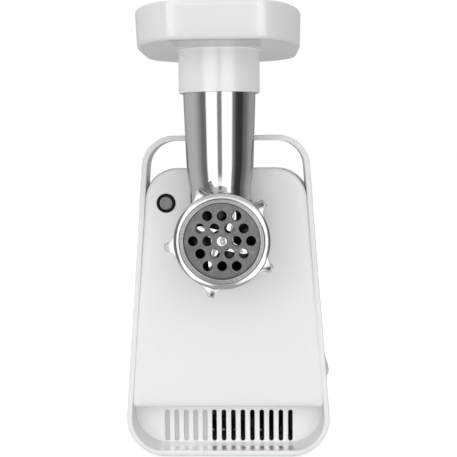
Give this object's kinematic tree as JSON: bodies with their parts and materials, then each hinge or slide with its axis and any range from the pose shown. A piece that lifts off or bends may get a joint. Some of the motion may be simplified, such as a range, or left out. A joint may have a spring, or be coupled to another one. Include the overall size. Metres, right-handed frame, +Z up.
{
  "type": "electric meat grinder",
  "caption": "Tall electric meat grinder: tapered white housing in a strap that forms its carrying handle, steel grinding head with lugged ring nut, feed tube and hopper tray.",
  "frame": {"origin": "centre of the footprint, on the surface that the feet stand on", "axes": "-Y towards the grinding plate (front), +Z up, +X towards the side with the rocker switch"},
  "size_m": [0.1735, 0.2885, 0.367],
  "materials": {
    "white_plastic": "smooth off-white moulded plastic, satin",
    "tray_plastic": "smooth off-white moulded plastic, satin",
    "white_trim": "off-white moulded plastic, satin",
    "black_plastic": "black moulded plastic, fine grain",
    "gray_plastic": "mid-gray moulded plastic, satin",
    "rubber": "soft black rubber",
    "steel": "machined steel",
    "polished_steel": "polished to a mirror, soft streaks",
    "plate_steel": "ground flat, fine circular lines",
    "cast_metal": "die-cast, fine grain",
    "laminations": "stacked steel sheets",
    "copper": "enamelled copper wire",
    "bronze": "sintered bronze",
    "brass": "plain brass",
    "gear_plastic": "natural ivory engineering plastic",
    "carbon": "dark graphite block",
    "board": "green circuit board",
    "film_case": "amber film capacitor case"
  },
  "bodies": {
    "housing": {"side_band": "white_plastic", "front_cover": "white_plastic", "vent_grille": "white_trim", "rear_housing": "white_plastic", "base_plate": "white_trim", "rubber_feet": "rubber", "case_screws": "steel", "base_screws": "steel", "head_socket": "cast_metal", "socket_screws": "steel", "button_bezel": "black_plastic", "button_spring": "steel", "switch_bezel": "white_trim", "switch_body": "black_plastic", "cord_gland": "gray_plastic", "terminal_block": "gear_plastic", "control_board": "board", "capacitor": "film_case", "gearbox_case": "cast_metal", "gearbox_cover": "cast_metal", "gearbox_screws": "steel", "gear_pins": "steel", "output_bushes": "bronze", "motor_front_bracket": "cast_metal", "motor_rear_bracket": "cast_metal", "motor_bolts": "steel", "motor_bearings": "steel", "motor_cradle": "black_plastic", "stator_core": "laminations", "field_coils": "copper", "brush_holders": "brass", "carbon_brushes": "carbon", "brush_springs": "steel"},
    "rotor": {"rotor_shaft": "steel", "rotor_core": "laminations", "rotor_winding": "copper", "commutator": "copper", "cooling_fan": "black_plastic", "motor_pinion": "steel"},
    "first_wheel": {"first_gear": "gear_plastic", "first_pinion": "steel"},
    "second_wheel": {"second_gear": "gear_plastic", "second_pinion": "steel"},
    "output": {"output_gear": "steel", "output_shaft": "steel", "auger_shaft": "steel", "auger": "cast_metal", "auger_washer": "gear_plastic", "knife": "steel"},
    "head": {"grinder_head": "polished_steel", "feed_tube": "polished_steel", "auger_bush": "bronze", "plate_key": "steel"},
    "plate": {"grinding_plate": "plate_steel"},
    "ring": {"ring_nut": "polished_steel"},
    "hopper": {"hopper_tray": "tray_plastic", "tray_neck": "tray_plastic"},
    "button": {"release_button": "gray_plastic", "latch_arm": "cast_metal"},
    "rocker": {"rocker_switch": "white_plastic"}
  },
  "joints": [
    {"name": "rotor_spin", "type": "hinge", "parent": "housing", "child": "rotor", "pos_m": [-0.0014, 0.066, 0.0765], "axis": [0, 1, 0], "continuous": true},
    {"name": "first_wheel_spin", "type": "hinge", "parent": "housing", "child": "first_wheel", "pos_m": [-0.0014, 0.006, 0.1125], "axis": [0, 1, 0], "continuous": true},
    {"name": "second_wheel_spin", "type": "hinge", "parent": "housing", "child": "second_wheel", "pos_m": [-0.0014, -0.004, 0.15], "axis": [0, 1, 0], "continuous": true},
    {"name": "auger_spin", "type": "hinge", "parent": "housing", "child": "output", "pos_m": [-0.0014, -0.03, 0.195], "axis": [0, 1, 0], "continuous": true},
    {"name": "head_turn", "type": "hinge", "parent": "housing", "child": "head", "pos_m": [-0.0014, -0.031, 0.195], "axis": [0, 1, 0], "range_deg": [0, 45]},
    {"name": "plate_slide", "type": "slide", "parent": "head", "child": "plate", "axis": [0, -1, 0], "range_m": [0, 0.012]},
    {"name": "ring_turn", "type": "hinge", "parent": "plate", "child": "ring", "pos_m": [-0.0014, -0.091, 0.195], "axis": [0, -1, 0], "range_deg": [-5, 1445]},
    {"name": "hopper_lift", "type": "slide", "parent": "head", "child": "hopper", "axis": [0, 0, 1], "range_m": [0, 0.06]},
    {"name": "button_press", "type": "slide", "parent": "housing", "child": "button", "axis": [0, 1, 0], "range_m": [0, 0.003], "stiffness_N_per_m": 900, "springref_m": -0.002, "deforming": ["button_spring"]},
    {"name": "rocker_tilt", "type": "hinge", "parent": "housing", "child": "rocker", "pos_m": [0.08344, -0.0145, 0.0785], "axis": [0, 1, 0], "range_deg": [0, 14]}
  ],
  "couplings": [
    {"joint": "first_wheel_spin", "follows": "rotor_spin", "ratio": -0.2},
    {"joint": "second_wheel_spin", "follows": "rotor_spin", "ratio": 0.05},
    {"joint": "auger_spin", "follows": "rotor_spin", "ratio": -0.0125},
    {"joint": "ring_turn", "follows": "plate_slide", "rad_per_m": 2094.4}
  ]
}
